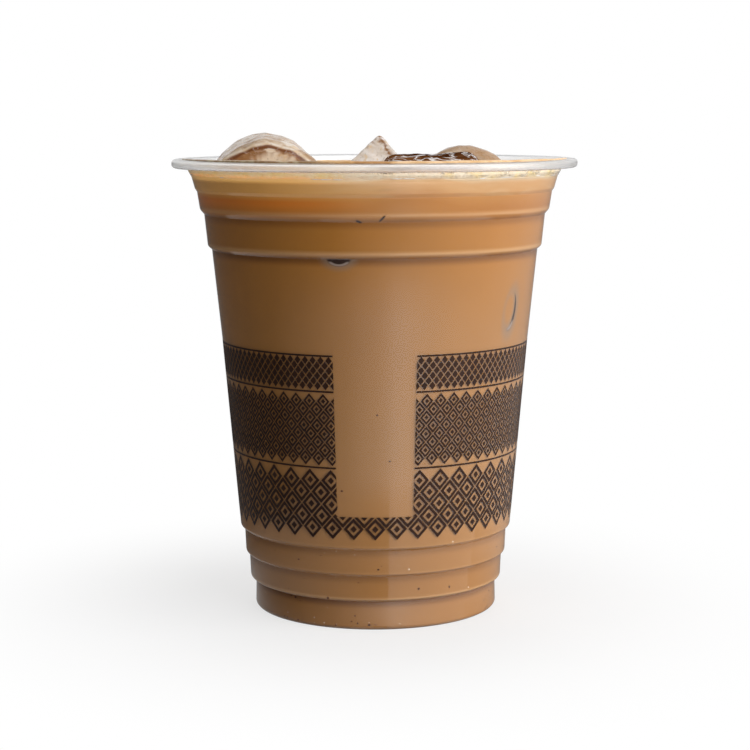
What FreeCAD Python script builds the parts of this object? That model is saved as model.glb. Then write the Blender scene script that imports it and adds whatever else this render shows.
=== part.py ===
import FreeCAD
import Part

import math
import os

# Iced mocha in a clear disposable cup. Millimetres, +Z up, origin at the centre of the foot ring's
# resting plane. The cup is one thermoformed sheet: push-up base, foot, two lower stacking rings, printed
# body, upper band, collar and rolled rim. The drink, its froth and the ice fill it.

# ---- cup: sheet and base
wall = 0.45                 # thickness of the sheet
foot_radius = 29.75         # outside of the foot, where it stands
foot_ring_width = 2.45      # from the outside of the foot to the start of the push-up
foot_edge = 0.9             # rounding under the foot
push_up_height = 4.0        # underside of the base panel above the ground
push_up_run = 1.8           # how far the push-up leans inwards
push_up_crown = 0.6         # rise of the panel from its edge to its middle
push_up_round = 1.5

# ---- cup: outside sections from the foot up. Draft is the gain in radius per millimetre of height.
foot_height = 6.9
foot_draft = -0.022
ring_height = 5.9
ring_draft = 0.045
body_lower_height = 45.8
body_lower_draft = 0.0873
body_upper_height = 22.0
body_upper_draft = 0.1035
band_height = 7.6
band_draft = 0.102
collar_height = 4.3
collar_draft = 0.155
brim_height = 2.8
brim_draft = 0.28
flare_height = 1.4
flare_draft = 0.57

# ---- cup: shoulders between the sections, each a short ledge (outward step, rise, rounding)
foot_ledge = (1.35, 0.40, 0.50)
ring_ledge = (0.85, 0.45, 0.50)
body_ledge = (0.95, 0.60, 0.60)
band_ledge = (0.98, 0.85, 1.10)
collar_ledge = (1.00, 1.15, 1.60)
brim_ledge = (0.50, 0.75, 0.60)
crease = 0.12               # rounding in the corner under each ledge
ring_count = 2

# ---- cup: rolled rim
neck_height = 2.75          # straight wall from the flare to the top of the rim
rim_width = 3.94            # from the neck to the outside of the roll
rim_depth = 2.05            # height of the roll
rim_round = 0.85            # rounding on the outside of the roll
rim_slot = 1.1              # gap between the neck and the returned edge of the roll

# ---- contents, measured down from the top of the rim
froth_drop = 3.3            # top of the froth
froth_depth = 4.3           # thickness of the froth

# ---- ice: each piece slides outwards along its bearing until it is a clearance short of the wall
ice_clearance = 0.4
ice_dish_radius = 9.5       # dished front end of a moulded piece
ice_dish_depth = 1.8

# radius at the wide front end, taper to the back end, melted rounding of the ends, rise of the highest point
# above the froth, yaw of the axis from front-to-back, tilt of the front end downwards, start and bearing
# (anticlockwise from +X) of the slide to the wall
moulded_ice = {
    "ice_left": {"radius": 14.2, "taper": 0.9, "length": 22.0, "edge": 2.6, "rise": 9.5,
                 "yaw": 6.0, "tilt": 5.5, "start": (0.0, -2.0), "bearing": 180.0},
    "ice_front": {"radius": 13.0, "taper": 0.6, "length": 24.0, "edge": 4.5, "rise": 5.3,
                  "yaw": -84.0, "tilt": 4.5, "start": (13.6, 0.0), "bearing": -90.0},
    "ice_right": {"radius": 12.4, "taper": 0.6, "length": 19.0, "edge": 4.8, "rise": 6.2,
                  "yaw": 8.0, "tilt": -3.0, "start": (0.0, 0.0), "bearing": 37.0},
}

shard_rise = 8.7            # tip above the froth
shard_tip = (1.2, 5.0)
shard_slopes = (49.0, 62.0, 43.5, 66.0)   # steepness of the faces towards +X, +Y, -X, -Y, from level
shard_sides = (8.0, 6.5, 10.2, 6.0)        # how far the piece reaches from its tip, in the same order
shard_depth = 16.0          # from tip to underside
shard_edge = 1.3


def turn_between(before, here, after):
    """Left-turn angle in radians at a corner, negative for a right turn."""
    in_angle = math.atan2(here[1] - before[1], here[0] - before[0])
    out_angle = math.atan2(after[1] - here[1], after[0] - here[0])
    return math.remainder(out_angle - in_angle, 2 * math.pi)


def cup_corners():
    """Corners (radius, height, rounding) of the sheet's underside and outside, from axis to rolled edge."""
    flat = foot_radius - foot_ring_width
    corners = [(0.0, push_up_height + push_up_crown, 0.0)]
    corners.append((flat - push_up_run, push_up_height, push_up_round))
    corners.append((flat, 0.0, foot_edge))
    corners.append((foot_radius, 0.0, foot_edge))
    radius = foot_radius
    height = 0.0
    sections = [(foot_height, foot_draft, foot_ledge)]
    for number in range(ring_count):
        last = number == ring_count - 1
        sections.append((ring_height, ring_draft, body_ledge if last else ring_ledge))
    sections.append((body_lower_height, body_lower_draft, None))
    sections.append((body_upper_height, body_upper_draft, band_ledge))
    sections.append((band_height, band_draft, collar_ledge))
    sections.append((collar_height, collar_draft, brim_ledge))
    sections.append((brim_height, brim_draft, None))
    sections.append((flare_height, flare_draft, None))
    for section_height, draft, ledge in sections:
        radius += draft * section_height
        height += section_height
        corners.append((radius, height, crease))
        if ledge:
            radius += ledge[0]
            height += ledge[1]
            corners.append((radius, height, ledge[2]))
    roll_top = height + neck_height - wall
    roll_side = radius + rim_width - wall
    roll_bottom = height + neck_height - rim_depth + wall
    corners.append((radius, roll_top, rim_round - wall))
    corners.append((roll_side, roll_top, rim_round - wall))
    corners.append((roll_side, roll_bottom, rim_round - wall))
    corners.append((radius + rim_slot, roll_bottom, 0.0))
    return corners


def shifted(corners, distance):
    """The same outline moved to its left by a distance: lines slide, their crossings are the new corners."""
    lines = []
    for start, end in zip(corners, corners[1:]):
        length = math.hypot(end[0] - start[0], end[1] - start[1])
        along = ((end[0] - start[0]) / length, (end[1] - start[1]) / length)
        lines.append(((start[0] - along[1] * distance, start[1] + along[0] * distance), along))
    first, along = lines[0]
    slide = (corners[0][0] - first[0]) / along[0]
    moved = [(corners[0][0], first[1] + along[1] * slide, 0.0)]
    for index in range(1, len(corners) - 1):
        (point, before), (other, after) = lines[index - 1], lines[index]
        cross = before[0] * after[1] - before[1] * after[0]
        reach = ((other[0] - point[0]) * after[1] - (other[1] - point[1]) * after[0]) / cross
        side = math.copysign(distance, cross)
        rounding = max(corners[index][2] - side, 0.0)
        moved.append((point[0] + before[0] * reach, point[1] + before[1] * reach, rounding))
    last, along = lines[-1]
    end = corners[-1]
    moved.append((end[0] - along[1] * distance, end[1] + along[0] * distance, 0.0))
    return moved


def outline(corners):
    """Edges through the corners in the XZ plane, each rounded corner being a tangent arc."""
    edges = []
    pen = FreeCAD.Vector(corners[0][0], 0, corners[0][1])
    for before, here, after in zip(corners, corners[1:], corners[2:]):
        corner = FreeCAD.Vector(here[0], 0, here[1])
        if here[2] > 0:
            half = turn_between(before, here, after) / 2
            setback = here[2] * math.tan(abs(half))
            back = FreeCAD.Vector(before[0], 0, before[1]) - corner
            ahead = FreeCAD.Vector(after[0], 0, after[1]) - corner
            back.normalize()
            ahead.normalize()
            inward = back + ahead
            inward.normalize()
            start = corner + back * setback
            middle = corner + inward * (here[2] / math.cos(half) - here[2])
            end = corner + ahead * setback
            edges.append(Part.LineSegment(pen, start).toShape())
            edges.append(Part.Arc(start, middle, end).toShape())
            pen = end
        else:
            edges.append(Part.LineSegment(pen, corner).toShape())
            pen = corner
    last = FreeCAD.Vector(corners[-1][0], 0, corners[-1][1])
    edges.append(Part.LineSegment(pen, last).toShape())
    return edges


def line(start, end):
    return Part.LineSegment(FreeCAD.Vector(start[0], 0, start[1]), FreeCAD.Vector(end[0], 0, end[1])).toShape()


def turned(edges):
    """Solid of revolution about Z of the area inside a closed loop of edges."""
    wire = Part.Wire(Part.__sortEdges__(edges))
    return Part.Face(wire).revolve(FreeCAD.Vector(0, 0, 0), FreeCAD.Vector(0, 0, 1), 360)


def radius_at(corners, height):
    """Radius of an outline's side wall at a height."""
    for low, high in zip(corners[3:], corners[4:]):
        if low[1] <= height <= high[1]:
            return low[0] + (high[0] - low[0]) * (height - low[1]) / (high[1] - low[1])
    return corners[-1][0]


def make_cup(outside, inside):
    """The sheet between its two faces, turned about Z."""
    edges = outline(outside) + outline(inside)
    edges.append(line(outside[0], inside[0]))
    edges.append(line(outside[-1], inside[-1]))
    return turned(edges)


def make_filling(inside, low, high):
    """What fills the cup between two heights; low None means down to the base."""
    neck = next(index for index, corner in enumerate(inside) if corner[1] > high)
    rising = inside[:neck] + [(radius_at(inside, high), high, 0.0)]
    edges = outline(rising)
    edges.append(line(rising[-1], (0.0, high)))
    edges.append(line((0.0, high), inside[0]))
    filling = turned(edges)
    if low is None:
        return filling
    reach = 2 * rim_width + inside[-1][0]
    return filling.cut(Part.makeCylinder(reach, low))


def ice_plug(size):
    """Moulded ice plug along Z about the origin, widest at -Z, with melted edges and a dish in its -Z end."""
    length = size["length"]
    body = Part.makeCone(size["radius"], size["radius"] - size["taper"], length, FreeCAD.Vector(0, 0, -length / 2))
    rims = [edge for edge in body.Edges if isinstance(edge.Curve, Part.Circle)]
    body = body.makeFillet(size["edge"], rims)
    ball_radius = (ice_dish_radius ** 2 + ice_dish_depth ** 2) / (2 * ice_dish_depth)
    ball_centre = -length / 2 + ice_dish_depth - ball_radius
    return body.cut(Part.makeSphere(ball_radius, FreeCAD.Vector(0, 0, ball_centre)))


def raise_to(solid, top):
    """Lifts a solid until its highest point is at a height."""
    box = solid.optimalBoundingBox(False)
    solid.translate(FreeCAD.Vector(0, 0, top - box.ZMax))
    return solid


def slide_to_wall(solid, bearing, inside):
    """Slides a solid level along a bearing in degrees until it is a clearance short of the wall."""
    ahead = FreeCAD.Vector(math.cos(math.radians(bearing)), math.sin(math.radians(bearing)), 0)
    travel = math.inf
    for point in solid.tessellate(0.1)[0]:
        room = radius_at(inside, point.z) - ice_clearance
        along = point.x * ahead.x + point.y * ahead.y
        across = point.x * ahead.y - point.y * ahead.x
        travel = min(travel, math.sqrt(room ** 2 - across ** 2) - along)
    solid.translate(ahead * travel)
    return solid


def make_moulded_ice(size, froth_top, inside):
    """Lays a plug down with its axis pointing back along +Y, tilts and yaws it, and seats it in the drink."""
    plug = ice_plug(size)
    plug.rotate(FreeCAD.Vector(0, 0, 0), FreeCAD.Vector(1, 0, 0), -90 + size["tilt"])
    plug.rotate(FreeCAD.Vector(0, 0, 0), FreeCAD.Vector(0, 0, 1), size["yaw"])
    plug.translate(FreeCAD.Vector(size["start"][0], size["start"][1], 0))
    return slide_to_wall(raise_to(plug, froth_top + size["rise"]), size["bearing"], inside)


def half_space(tip, slope, bearing, size):
    """Block under a plane through the tip that falls towards a bearing at a slope, both in degrees."""
    block = Part.makeBox(2 * size, 2 * size, 2 * size, FreeCAD.Vector(-size, -size, -2 * size))
    block.rotate(FreeCAD.Vector(0, 0, 0), FreeCAD.Vector(0, 1, 0), slope)
    block.rotate(FreeCAD.Vector(0, 0, 0), FreeCAD.Vector(0, 0, 1), bearing)
    block.translate(tip)
    return block


def make_shard(tip):
    """Broken piece of ice: four sloping faces that meet at a melted tip, over a block below the froth's top."""
    right, back, left, front = shard_sides
    size = 3 * shard_depth
    cap = Part.makeBox(2 * size, 2 * size, shard_depth, tip - FreeCAD.Vector(size, size, shard_depth))
    for number, slope in enumerate(shard_slopes):
        cap = cap.common(half_space(tip, slope, 90 * number, size))
    cap = raise_to(cap.makeFillet(shard_edge, cap.Edges), tip.z)
    corner = tip - FreeCAD.Vector(left, front, shard_depth)
    block = Part.makeBox(left + right, front + back, size, corner)
    uprights = [edge for edge in block.Edges if abs(edge.tangentAt(edge.FirstParameter).z) > 0.5]
    return cap.common(block.makeFillet(shard_edge, uprights))


def main():
    outside = cup_corners()
    inside = shifted(outside, wall)
    rim_top = outside[-3][1] + wall
    froth_top = rim_top - froth_drop
    froth_bottom = froth_top - froth_depth

    ice = {name: make_moulded_ice(size, froth_top, inside) for name, size in moulded_ice.items()}
    shard = make_shard(FreeCAD.Vector(shard_tip[0], shard_tip[1], froth_top + shard_rise))
    for neighbour in ice.values():
        shard = shard.cut(neighbour)
    ice["ice_centre"] = shard
    drink = make_filling(inside, None, froth_bottom)
    froth = make_filling(inside, froth_bottom, froth_top)
    for piece in ice.values():
        drink = drink.cut(piece)
        froth = froth.cut(piece)

    nodes = {"cup": make_cup(outside, inside), "mocha_drink": drink, "froth": froth}
    nodes.update(ice)
    os.makedirs("parts", exist_ok=True)
    for name, shape in nodes.items():
        shape.exportStep("parts/" + name + ".step")
        box = shape.BoundBox
        print(name, "solids", len(shape.Solids), "valid", shape.isValid(), "ml", round(shape.Volume / 1000, 2),
              "box", [round(value, 2) for value in (box.XMin, box.XMax, box.YMin, box.YMax, box.ZMin, box.ZMax)])


main()
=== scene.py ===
"""Iced mocha in a clear disposable cup: the look of each piece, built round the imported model.

Lengths are written in millimetres and become metres when a mesh is made; shader nodes, lamps and the
camera take metres. The cup stands on the floor at the origin, +Z up, and the front of the print faces -Y.
An angle round the cup is 0 at the front and grows to the right, +X.
"""

import math

import bpy
import numpy as np
from mathutils import Matrix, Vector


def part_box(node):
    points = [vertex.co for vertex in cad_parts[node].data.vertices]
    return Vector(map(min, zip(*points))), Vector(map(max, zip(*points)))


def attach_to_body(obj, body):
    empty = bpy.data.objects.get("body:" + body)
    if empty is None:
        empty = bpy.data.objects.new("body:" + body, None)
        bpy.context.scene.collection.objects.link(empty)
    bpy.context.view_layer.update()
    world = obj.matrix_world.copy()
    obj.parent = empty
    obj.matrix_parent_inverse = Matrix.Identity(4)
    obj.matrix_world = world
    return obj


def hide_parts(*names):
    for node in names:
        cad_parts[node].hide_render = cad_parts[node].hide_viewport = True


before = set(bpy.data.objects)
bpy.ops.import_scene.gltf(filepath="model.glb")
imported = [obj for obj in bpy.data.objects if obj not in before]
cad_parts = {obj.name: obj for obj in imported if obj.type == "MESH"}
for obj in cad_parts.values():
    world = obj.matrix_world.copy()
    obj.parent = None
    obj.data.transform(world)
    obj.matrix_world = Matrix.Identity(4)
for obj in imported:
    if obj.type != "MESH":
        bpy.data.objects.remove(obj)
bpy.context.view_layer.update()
MM = 0.001
WHITE = (1.0, 1.0, 1.0, 1.0)
BLACK = (0.0, 0.0, 0.0, 1.0)

# ---- cup section: (radius, height, rounding) corners of the outer face, from the middle of the base to the
# free edge of the rolled rim, as the model has them
SHEET = 0.45
CUP_SECTION = np.array([
    (0.0, 4.60, 0.0), (25.50, 4.00, 1.50), (27.30, 0.0, 0.90), (29.75, 0.0, 0.90),
    (29.60, 6.90, 0.12), (30.95, 7.30, 0.50), (31.21, 13.20, 0.12), (32.06, 13.65, 0.50),
    (32.33, 19.55, 0.12), (33.28, 20.15, 0.60), (37.28, 65.95, 0.12), (39.55, 87.95, 0.12),
    (40.53, 88.80, 1.10), (41.31, 96.40, 0.12), (42.31, 97.55, 1.60), (42.98, 101.85, 0.12),
    (43.48, 102.60, 0.60), (44.26, 105.40, 0.12), (45.06, 106.80, 0.12), (45.06, 109.10, 0.40),
    (48.55, 109.10, 0.40), (48.55, 107.95, 0.40), (46.16, 107.95, 0.0)])
AROUND = 288                # facets round the cup
CREASE = 0.12               # rounding where a wall meets the ledge above it

# ---- painted light and shade in the six ledges, from the foot up
LEDGE_GLEAM = (0.3, 0.08, 0.08, 0.26, 0.22, 0.0)        # painted highlight on each ledge's rounding
LEDGE_SHADE = (0.66, 0.36, 0.36, 0.62, 0.42, 0.05)      # painted shade in the crease under it
LEDGE_RAISED = (0.0, 0.0, 0.0, 0.2, 0.2, 0.2)           # how far both lie above the ledge's corner

# ---- contents
BEDDING = 0.12              # how far the drink, froth and bubbles reach into the sheet
FLAT_RING = 20.0            # radius of the ring that divides a level face
DRINK_HEIGHT = 0.110        # metres, where the drink's colours by height end
FROTH_MENISCUS = 0.55       # rise of the froth where it meets the wall
PAINTED_GLOW_STRENGTH = 0.28           # strength of the painted glow: emission on the froth by the wall that stands in for light passed on from above to its shaded side
FROTH_AROUND = 360          # facets round the froth
BUBBLES_IN_FROTH = 2600
BUBBLES_BY_WALL, BUBBLES_ON_TOP = 240, 260
FILM_TOP = 107.6            # highest froth left clinging to the front of the wall
BEAD_RADIUS, BEAD_WIDE, BEAD_TALL = 46.2, 0.62, 0.55    # brown bead on the rim, a painted refraction of the drink: circle, half width and height

# ---- where sunk ice presses on the wall, in degrees and millimetres: an oval on the wall's radius, less the
# same oval shifted off it, tilted and cut level at a top
MARK_SIZES = ("Angle", "Height", "Radius", "Half_Width", "Half_Height", "Shift_X", "Shift_Z", "Tilt", "Top")
WHOLE, UNCUT = 99.0, 999.0  # a shift that takes nothing away, and a top that cuts nothing off
ICE_ON_WALL = [(-11.9, 88.2, 39.2, 2.9, 1.9, 0.0, WHOLE, 0.0, 88.05),
               (57.0, 74.2, 38.0, 2.3, 4.6, -1.0, 0.5, -10.0, UNCUT)]
CHIPS_ON_WALL = [(-4.9, 96.6, 41.1, 0.75, 0.32, 0.0, WHOLE, -22.0, UNCUT),
                 (2.3, 97.3, 41.3, 0.95, 0.24, 0.0, WHOLE, 45.0, UNCUT)]

# ---- print: bands of lozenges round a bare front window
WINDOW_HALF = math.radians(15.0)
WINDOW_FLOOR = 27.9
WINDOW_CORNER = 3.0
INK_PROUD, INK_SUNK = 0.02, 0.02
RULES = (39.4, 57.35, 65.7)     # heights of the ruled lines
RULE_HALF = 0.2

# ---- studio, in metres and radians
CAMERA_LENS = 94.73             # millimetres, before a sensor 36 mm wide
CAMERA_PLACE = (0.0, -0.4812, 0.12157)
CAMERA_DOWN, CAMERA_ROLL = 0.1343, -0.0025
CUP_MIDDLE = (0, 0, 0.06)
LAMPS = [               # bearing in degrees, distance, height, width, tall, glow, whether gloss shows it
    ("key", 55.0, 0.75, 0.30, 1.05, 0.55, 4.2, True),
    ("back", 180.0, 0.85, 0.25, 0.7, 0.5, 3.0, False),
    ("left", -110.0, 0.9, 0.25, 0.4, 0.5, 0.6, False),
    ("right", 98.0, 0.6, 0.06, 0.4, 0.3, 2.0, False),
    ("overhead", 20.0, 0.05, 0.75, 0.6, 0.6, 2.6, True)]
AMBIENT = 0.07                  # even light from all round
FLOOR_AROUND, FLOOR_RINGS = 96, 40
CARDS_AROUND, CARDS_ROWS = 720, 74
CARDS_RADIUS, CARDS_TOP, CARDS_FOOT = 250, 125, -600    # millimetres


# ------------------------------------------------------------------ arrays


def unit(vectors):
    """Vectors divided by their own lengths."""
    return vectors / np.linalg.norm(vectors, axis=-1, keepdims=True)


def ease(value, low, high):
    """0 below low, 1 above high, and the smooth cubic 3t2 - 2t3 between them."""
    share = np.clip((value - low) / (high - low), 0, 1)
    return share * share * (3 - 2 * share)


def waves(points, size, seed, count=28):
    """Smooth noise near -1..1: the sum of sine waves running in random directions, each about one size
    long."""
    rng = np.random.default_rng(seed)
    heading = unit(rng.normal(size=(count, 3)))
    length = size * rng.uniform(0.6, 1.7, count)
    phase = rng.uniform(0, 2 * np.pi, count)
    total = np.sin(points @ (heading * (2 * np.pi / length)[:, None]).T + phase).sum(-1)
    return total / math.sqrt(count)


def beside(corners, distance):
    """The outline moved to its left: each run slides sideways by the distance, the crossings of
    neighbouring runs are the new corners, and each rounding grows or shrinks by the distance."""
    run = unit(np.diff(corners[:, :2], axis=0))
    start = corners[:-1, :2] + distance * np.stack([-run[:, 1], run[:, 0]], -1)
    cross = run[:-1, 0] * run[1:, 1] - run[:-1, 1] * run[1:, 0]
    gap = start[1:] - start[:-1]
    reach = (gap[:, 0] * run[1:, 1] - gap[:, 1] * run[1:, 0]) / cross
    crossing = start[:-1] + run[:-1] * reach[:, None]
    first = start[0] - run[0] * (start[0, 0] / run[0, 0])
    last = corners[-1, :2] + distance * np.array([-run[-1, 1], run[-1, 0]])
    rounding = np.maximum(corners[1:-1, 2] - np.copysign(distance, cross), 0)
    places = np.concatenate([first[None], crossing, last[None]])
    return np.column_stack([places, np.concatenate([[0], rounding, [0]])])


def rounded(corners, arc_step=13.0, lead=0.09):
    """Points along an outline: each rounded corner becomes the arc that touches both its runs, and a lead
    point just before and after each arc keeps the flats flat."""
    place, size = corners[:, :2], corners[:, 2]
    back, ahead = unit(place[:-2] - place[1:-1]), unit(place[2:] - place[1:-1])
    half = np.arccos(np.clip((back * ahead).sum(-1), -1, 1)) / 2
    reach = np.concatenate([[0], size[1:-1] / np.tan(half), [0]])
    flat = np.linalg.norm(np.diff(place, axis=0), axis=-1) - reach[:-1] - reach[1:]
    leads = np.minimum(lead, 0.3 * flat)
    points = [place[:1]]
    for index in range(1, len(corners) - 1):
        to_last, to_next, corner = back[index - 1], ahead[index - 1], place[index]
        start, end = corner + to_last * reach[index], corner + to_next * reach[index]
        points.append((start + to_last * leads[index - 1])[None])
        if size[index] > 0:
            middle = corner + unit(to_last + to_next) * size[index] / math.sin(half[index - 1])
            sweep = math.pi - 2 * half[index - 1]
            steps = max(2, math.ceil(math.degrees(sweep) / arc_step))
            turn = np.linspace(0, sweep, steps + 1)[:, None]
            arc = (np.sin(sweep - turn) * (start - middle) + np.sin(turn) * (end - middle)) / math.sin(sweep)
            points.append(middle + arc)
        else:
            points.append(corner[None])
        points.append((end + to_next * leads[index])[None])
    points.append(place[-1:])
    return np.concatenate(points)


def polar(radius, angle, height):
    """Points at a radius from the axis, an angle from the front and a height."""
    return np.stack(np.broadcast_arrays(radius * np.sin(angle), -radius * np.cos(angle), height), -1)


def turned(profile, columns=AROUND):
    """Rings of a surface of revolution: every (radius, height) of the profile carried round the axis."""
    return polar(profile[:, :1], 2 * np.pi * np.arange(columns) / columns, profile[:, 1:])


def radius_at(line, height):
    """Radius of a rising wall line at a height."""
    side = line[np.argmax(line[:, 1] > 0.5):]
    order = np.argsort(side[:, 1], kind="stable")
    return np.interp(height, side[order, 1], side[order, 0])


def wall_line(inset):
    """The side wall from the foot to the neck, an inset inside the outer face, as (radius, height)
    points."""
    line = rounded(beside(CUP_SECTION, inset)[:-3], 20)
    return line[np.argmin(np.abs(line[:, 1] - 1.2) + 9 * (line[:, 0] < 28)):]


def cell_quads(rows, columns, loop=False):
    """Faces of a grid whose columns run right round: neighbouring rings are joined, and loop joins the last
    ring back to the first."""
    row = np.arange(rows if loop else rows - 1)[:, None]
    column = np.arange(columns)[None]
    above, next_column = (row + 1) % rows, (column + 1) % columns
    corners = [row * columns + column, row * columns + next_column,
               above * columns + next_column, above * columns + column]
    return np.stack(corners, -1).reshape(-1, 4)


# ------------------------------------------------------------------ meshes


def mesh_of(name, points, quads, triangles=()):
    """A smooth-shaded mesh from arrays of points in millimetres and of corner numbers."""
    quads = np.asarray(quads, int).reshape(-1, 4)
    triangles = np.asarray(triangles, int).reshape(-1, 3)
    corners = np.concatenate([quads.ravel(), triangles.ravel()])
    starts = np.concatenate([np.arange(len(quads)) * 4, 4 * len(quads) + np.arange(len(triangles)) * 3])
    mesh = bpy.data.meshes.new(name)
    mesh.vertices.add(len(points))
    mesh.vertices.foreach_set("co", (np.asarray(points, float) * MM).astype(np.float32).ravel())
    mesh.loops.add(len(corners))
    mesh.loops.foreach_set("vertex_index", corners.astype(np.int32))
    mesh.polygons.add(len(starts))
    mesh.polygons.foreach_set("loop_start", starts.astype(np.int32))
    mesh.update(calc_edges=True)
    mesh.shade_smooth()
    return mesh


def place(data):
    """Puts a finished mesh, a lamp or a camera into the scene at the origin."""
    piece = bpy.data.objects.new(data.name, data)
    bpy.context.scene.collection.objects.link(piece)
    return piece


def fit(mesh, material, slot, *stands_for):
    """Files a mesh as a piece of the cup: its material and the model's nodes it stands for, which are hidden;
    the slot is not used.
    """
    mesh.materials.append(material)
    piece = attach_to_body(place(mesh), "root")
    if stands_for:
        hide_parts(*stands_for)
    return piece


def attach(mesh, name, values):
    """Keeps one number per point on the mesh for its material to read."""
    mesh.attributes.new(name, "FLOAT", "POINT").data.foreach_set("value", np.ravel(values).astype(np.float32))


def pole_fans(rows, columns):
    """Triangles that close the first and the last ring at two poles, which are numbered after the rings."""
    turn = np.arange(columns)
    following, first, top = (turn + 1) % columns, 0 * turn + rows * columns, (rows - 1) * columns
    return np.concatenate([np.stack([first, following, turn], -1),
                           np.stack([top + turn, top + following, first + 1], -1)])


def closed_rings(name, rings, poles=None):
    """A closed mesh from rings: the last ring joins the first, or fans close both ends at the two poles."""
    rows, columns = rings.shape[:2]
    points = rings.reshape(-1, 3)
    if poles is None:
        return mesh_of(name, points, cell_quads(rows, columns, loop=True))
    return mesh_of(name, np.concatenate([points, np.asarray(poles, float)]), cell_quads(rows, columns),
                   pole_fans(rows, columns))


def ball(rows=4, columns=8):
    """Points and faces of a small round form: rings at equal steps from pole to pole."""
    fall = np.pi * np.arange(1, rows + 1) / (rows + 1)
    ring = turned(np.stack([np.sin(fall), -np.cos(fall)], -1), columns).reshape(-1, 3)
    points = np.concatenate([ring, [[0, 0, -1], [0, 0, 1]]])
    return points, cell_quads(rows, columns), pole_fans(rows, columns)


def copied(faces, count, size):
    """The faces of a form of so many points, numbered again for each of its copies."""
    return (faces[None] + (np.arange(count) * size)[:, None, None]).reshape(-1, faces.shape[1])


def strewn(name, form, centres, axes):
    """Copies of a small form as one mesh: each point is the centre plus the form's point along that copy's
    axes."""
    points, quads, fans = form
    every = centres[:, None] + np.einsum("pk,nkj->npj", points, axes)
    quads, fans = (copied(faces, len(centres), len(points)) for faces in (quads, fans))
    return mesh_of(name, every.reshape(-1, 3), quads, fans)


def wall_axes(angles, wide, tall, deep):
    """Axes for copies lying on the wall at angles from the front: along the wall, up it and through it."""
    along = np.stack([np.cos(angles), np.sin(angles), 0 * angles], -1) * wide[:, None]
    up = np.array([[0, 0, 1]]) * tall[:, None]
    return np.stack([along, up, polar(1, angles, 0) * deep[:, None]], 1)


# ------------------------------------------------------------------ shader helpers


def srgb(red, green, blue):
    """A screen colour of 0..255 as the linear colour a shader takes."""
    value = np.array([red, green, blue]) / 255
    linear = np.where(value <= 0.04045, value / 12.92, ((value + 0.055) / 1.055) ** 2.4)
    return (*linear.tolist(), 1.0)


class Field:
    """What a shader node puts out over a surface. Arithmetic on it adds the nodes that work out the
    result."""

    def __init__(self, socket):
        self.socket = socket
        self.tree = socket.id_data

    def maths(self, operation, *others):
        """One step of arithmetic on this field and the others."""
        inputs = {f"n_{index}": value for index, value in enumerate((self, *others))}
        return Field(add(self.tree, "Math", {"operation": operation}, **inputs).outputs[0])

    def __add__(self, other):
        return self.maths("ADD", other)

    def __sub__(self, other):
        return self.maths("SUBTRACT", other)

    def __mul__(self, other):
        return self.maths("MULTIPLY", other)

    def __truediv__(self, other):
        return self.maths("DIVIDE", other)

    def between(self, low, high, to_low=0.0, to_high=1.0, kind="SMOOTHSTEP"):
        """The field carried from low..high to to_low..to_high and held at the ends."""
        node = add(self.tree, "MapRange", {"interpolation_type": kind}, Value=self, From_Min=low,
                   From_Max=high, To_Min=to_low, To_Max=to_high)
        return Field(node.outputs["Result"])

    def tint(self, low, high, first, second):
        """A colour that turns from the first to the second while the field goes from low to high."""
        return mixed(self.between(low, high), first, second)

    def axes(self):
        """A place's distances along X, Y and Z."""
        return [Field(socket) for socket in add(self.tree, "SeparateXYZ", Vector=self).outputs]


def connect(socket, value):
    """Links a field to a node's input, or sets a plain value on it."""
    if isinstance(value, Field):
        value.tree.links.new(value.socket, socket)
    else:
        socket.default_value = value


def add(tree, kind, settings=None, **sockets):
    """Adds a shader node with its settings and its inputs, which are named, or numbered n_0, n_1 and so
    on."""
    node = tree.nodes.new("ShaderNode" + kind)
    for name, value in (settings or {}).items():
        setattr(node, name, value)
    for name, value in sockets.items():
        name = name.replace("_", " ")
        connect(node.inputs[int(name[2:])] if name.startswith("n ") else node.inputs[name], value)
    return node


def fields(node):
    """What a node puts out, by name."""
    return {socket.name: Field(socket) for socket in node.outputs}


def noise(where, scale, detail, rough=0.5, distortion=0.0):
    """Smooth noise about a half, in waves per metre."""
    return Field(add(where.tree, "TexNoise", Vector=where, Scale=scale, Detail=detail, Roughness=rough,
                     Distortion=distortion).outputs[0])


def mixed(share, first, second, blend="MIX"):
    """Two colours mixed by a share."""
    tree = next(value.tree for value in (share, first, second) if isinstance(value, Field))
    node = add(tree, "Mix", {"data_type": "RGBA", "blend_type": blend}, n_0=share, n_6=first, n_7=second)
    return Field(node.outputs[2])


def shaded(colour, factor):
    """A colour made darker or lighter by a factor about 1."""
    grey = add(factor.tree, "CombineColor", Red=factor, Green=factor, Blue=factor)
    return mixed(1.0, colour, Field(grey.outputs[0]), "MULTIPLY")


def ramp(value, stops):
    """Colours set along a value from 0 to 1."""
    node = add(value.tree, "ValToRGB", n_0=value)
    band = node.color_ramp
    while len(band.elements) > 1:
        band.elements.remove(band.elements[-1])
    band.elements[0].position, band.elements[0].color = stops[0]
    for position, colour in stops[1:]:
        band.elements.new(position).color = colour
    return Field(node.outputs[0])


def attribute(tree, name):
    """The number that the mesh keeps for each point under a name."""
    return Field(add(tree, "Attribute", {"attribute_name": name}).outputs["Fac"])


def cleared(owner):
    """The emptied shader tree of a material or a world."""
    owner.use_nodes = True
    owner.node_tree.nodes.clear()
    return owner.node_tree


def new_material(name):
    """An empty material, and where a point is on its piece, in metres."""
    material = bpy.data.materials.new(name)
    return material, Field(add(cleared(material), "TexCoord").outputs["Object"])


def finished(material, shader):
    """The material with a shader as its surface."""
    add(material.node_tree, "OutputMaterial", Surface=Field(shader.outputs[0]))
    return material


def principled(colour, **sockets):
    """The main shader with a colour that changes over the surface."""
    return add(colour.tree, "BsdfPrincipled", Base_Color=colour, **sockets)


def blended(share, first, second):
    """Two shaders mixed by a share."""
    return add(share.tree, "MixShader", n_0=share, n_1=Field(first.outputs[0]), n_2=Field(second.outputs[0]))


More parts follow.
